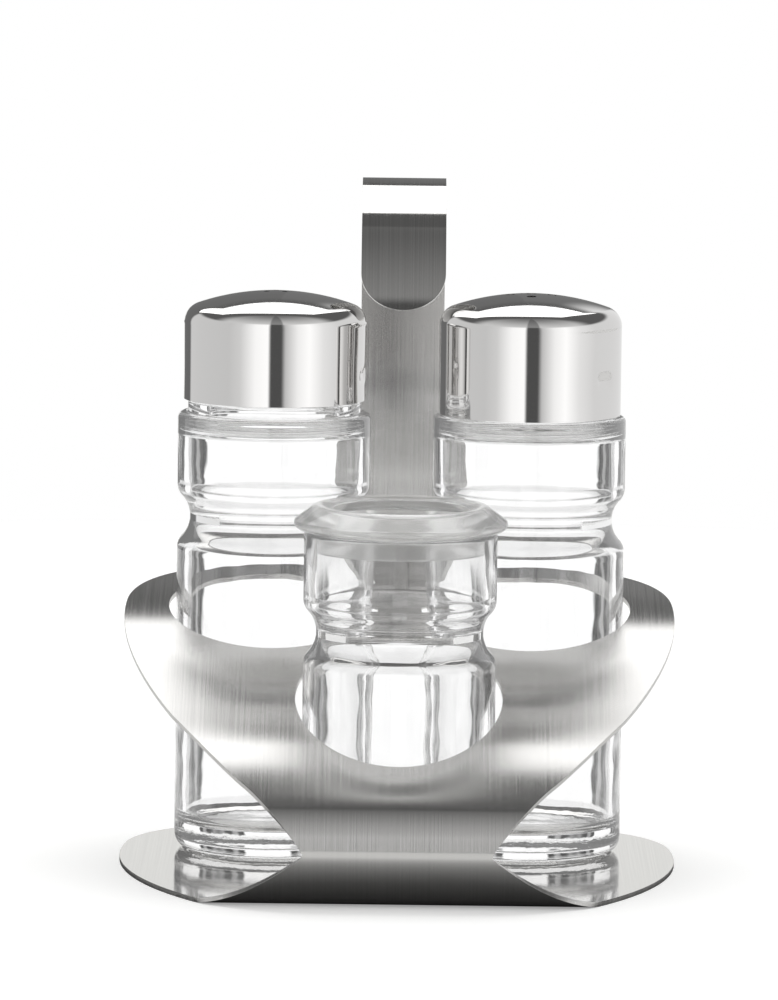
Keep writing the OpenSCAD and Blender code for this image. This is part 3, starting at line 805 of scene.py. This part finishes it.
def cap_shape(dimple_turn):
    """How a flat disc becomes a cap whose dimples face dimple_turn, in degrees, and the other way."""
    def shape(x, y, t):
        s, a = hypot(x, y), atan2(y, x)
        if s < dome_s:
            turn = s / DOME_R
            r, z, nr, nz = DOME_R * sin(turn), dome_low + DOME_R * cos(turn), sin(turn), cos(turn)
        elif s < edge_s:
            turn = dome_turn + (s - dome_s) / CAP_EDGE
            r, z, nr, nz = edge_x + CAP_EDGE * sin(turn), edge_z + CAP_EDGE * cos(turn), sin(turn), cos(turn)
        else:
            r, z, nr, nz = CAP_R, edge_z - (s - edge_s), 1, 0
            off = (a - radians(dimple_turn) + pi / 2) % pi - pi / 2
            across, up = off * CAP_R, z - dimple_z
            dent = DIMPLE_DEPTH * exp(-((across / DIMPLE_W) ** 4 + (up / DIMPLE_TALL) ** 2))
            r -= dent + SINK_DEPTH * exp(-(across ** 2 + up ** 2) / SINK_W ** 2)
        r, z = r + nr * t, z + nz * t
        return Vector((r * cos(a), r * sin(a), z))
    return shape


def cap_blank(drawn, hole_places, hole_r):
    """A disc of radius drawn, with fine rings outside its pierced middle."""
    middle, turns = 7, 256
    ring = [(middle * cos(2 * pi * i / turns), middle * sin(2 * pi * i / turns)) for i in range(turns)]
    bm = bmesh.new()
    loop_of(bm, ring)
    for cx, cy in hole_places:
        loop_of(bm, arc((cx, cy), hole_r, 0, 360, 12)[:-1])
    bmesh.ops.triangle_fill(bm, use_beauty=True, use_dissolve=False, edges=bm.edges[:], normal=(0, 0, 1))
    slice_across(bm, range(-6, 7, 2), (1, 0, 0))
    slice_across(bm, range(-6, 7, 2), (0, 1, 0))
    radii = ([middle + (dome_s - middle) * i / 8 for i in range(1, 9)]
             + [dome_s + (edge_s - dome_s) * i / 10 for i in range(1, 11)]
             + [edge_s + (drawn - edge_s) * i / 44 for i in range(1, 45)])
    border = [e for e in bm.edges if e.is_boundary and min(v.co.length for v in e.verts) > middle - 0.5]
    at = middle
    for radius in radii:
        grown = bmesh.ops.extrude_edge_only(bm, edges=border)["geom"]
        verts = [g for g in grown if isinstance(g, bmesh.types.BMVert)]
        border = [g for g in grown if isinstance(g, bmesh.types.BMEdge)]
        bmesh.ops.scale(bm, vec=(radius / at, radius / at, 1), verts=verts)
        at = radius
    bmesh.ops.recalc_face_normals(bm, faces=bm.faces[:])
    thicken(bm, -CAP_WALL)
    return bm


SALT_PITCH, SALT_HOLE_R = 4.4, 1.0
PEPPER_RING, PEPPER_HOLE_R = 2.2, 0.6
salt_holes = [(0, 0), (SALT_PITCH, 0), (-SALT_PITCH, 0), (0, SALT_PITCH), (0, -SALT_PITCH)]
pepper_holes = [(PEPPER_RING * cos(radians(a)), PEPPER_RING * sin(radians(a))) for a in (90, 210, 330)]
for name, x, height, places, hole_r, turn in (
        ("salt", LOBE_X, SALT_CAP_H, salt_holes, SALT_HOLE_R, SALT_TURN),
        ("pepper", -LOBE_X, PEPPER_CAP_H, pepper_holes, PEPPER_HOLE_R, PEPPER_TURN)):
    bm = cap_blank(edge_s + edge_z - (cap_top - height), places, hole_r)
    directions = form(bm, cap_shape(turn))
    bmesh.ops.translate(bm, vec=Vector((x, ROW_Y, FOOT_Z)) * MM, verts=bm.verts)
    finish_piece(bm, name + "_cap_shell", name + "_lid", name + "_cap", [polished], directions)

# %% [markdown]
# The inserts are moulded from white polypropylene and keep their CAD mesh, because only
# a sliver of them shows. A faint glow stands in for the light that thin milky plastic
# lets through.

# %% Inserts
INSERT_GLOW = 0.35
white, tree = new_material("white_polypropylene")
spot = add_node(tree, "TexCoord")
skin = add_node(tree, "TexNoise", {"Vector": spot.outputs["Object"], "Scale": 900, "Detail": 2})
bump = add_node(tree, "Bump", {"Strength": 1, "Distance": 0.01 * MM, "Height": skin.outputs["Fac"]})
rough = add_node(tree, "MapRange", {"Value": skin.outputs["Fac"], "To Min": 0.35, "To Max": 0.5})
plastic = add_node(tree, "BsdfPrincipled", {"Base Color": linear("EDEDEA"), "Roughness": rough.outputs[0],
                                            "Normal": bump.outputs[0], "Emission Color": linear("FFFFFF"),
                                            "Emission Strength": INSERT_GLOW})
add_node(tree, "OutputMaterial", {"Surface": plastic.outputs[0]})
for name in ("salt_cap_insert", "pepper_cap_insert"):
    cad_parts[name].data.materials.clear()
    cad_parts[name].data.materials.append(white)
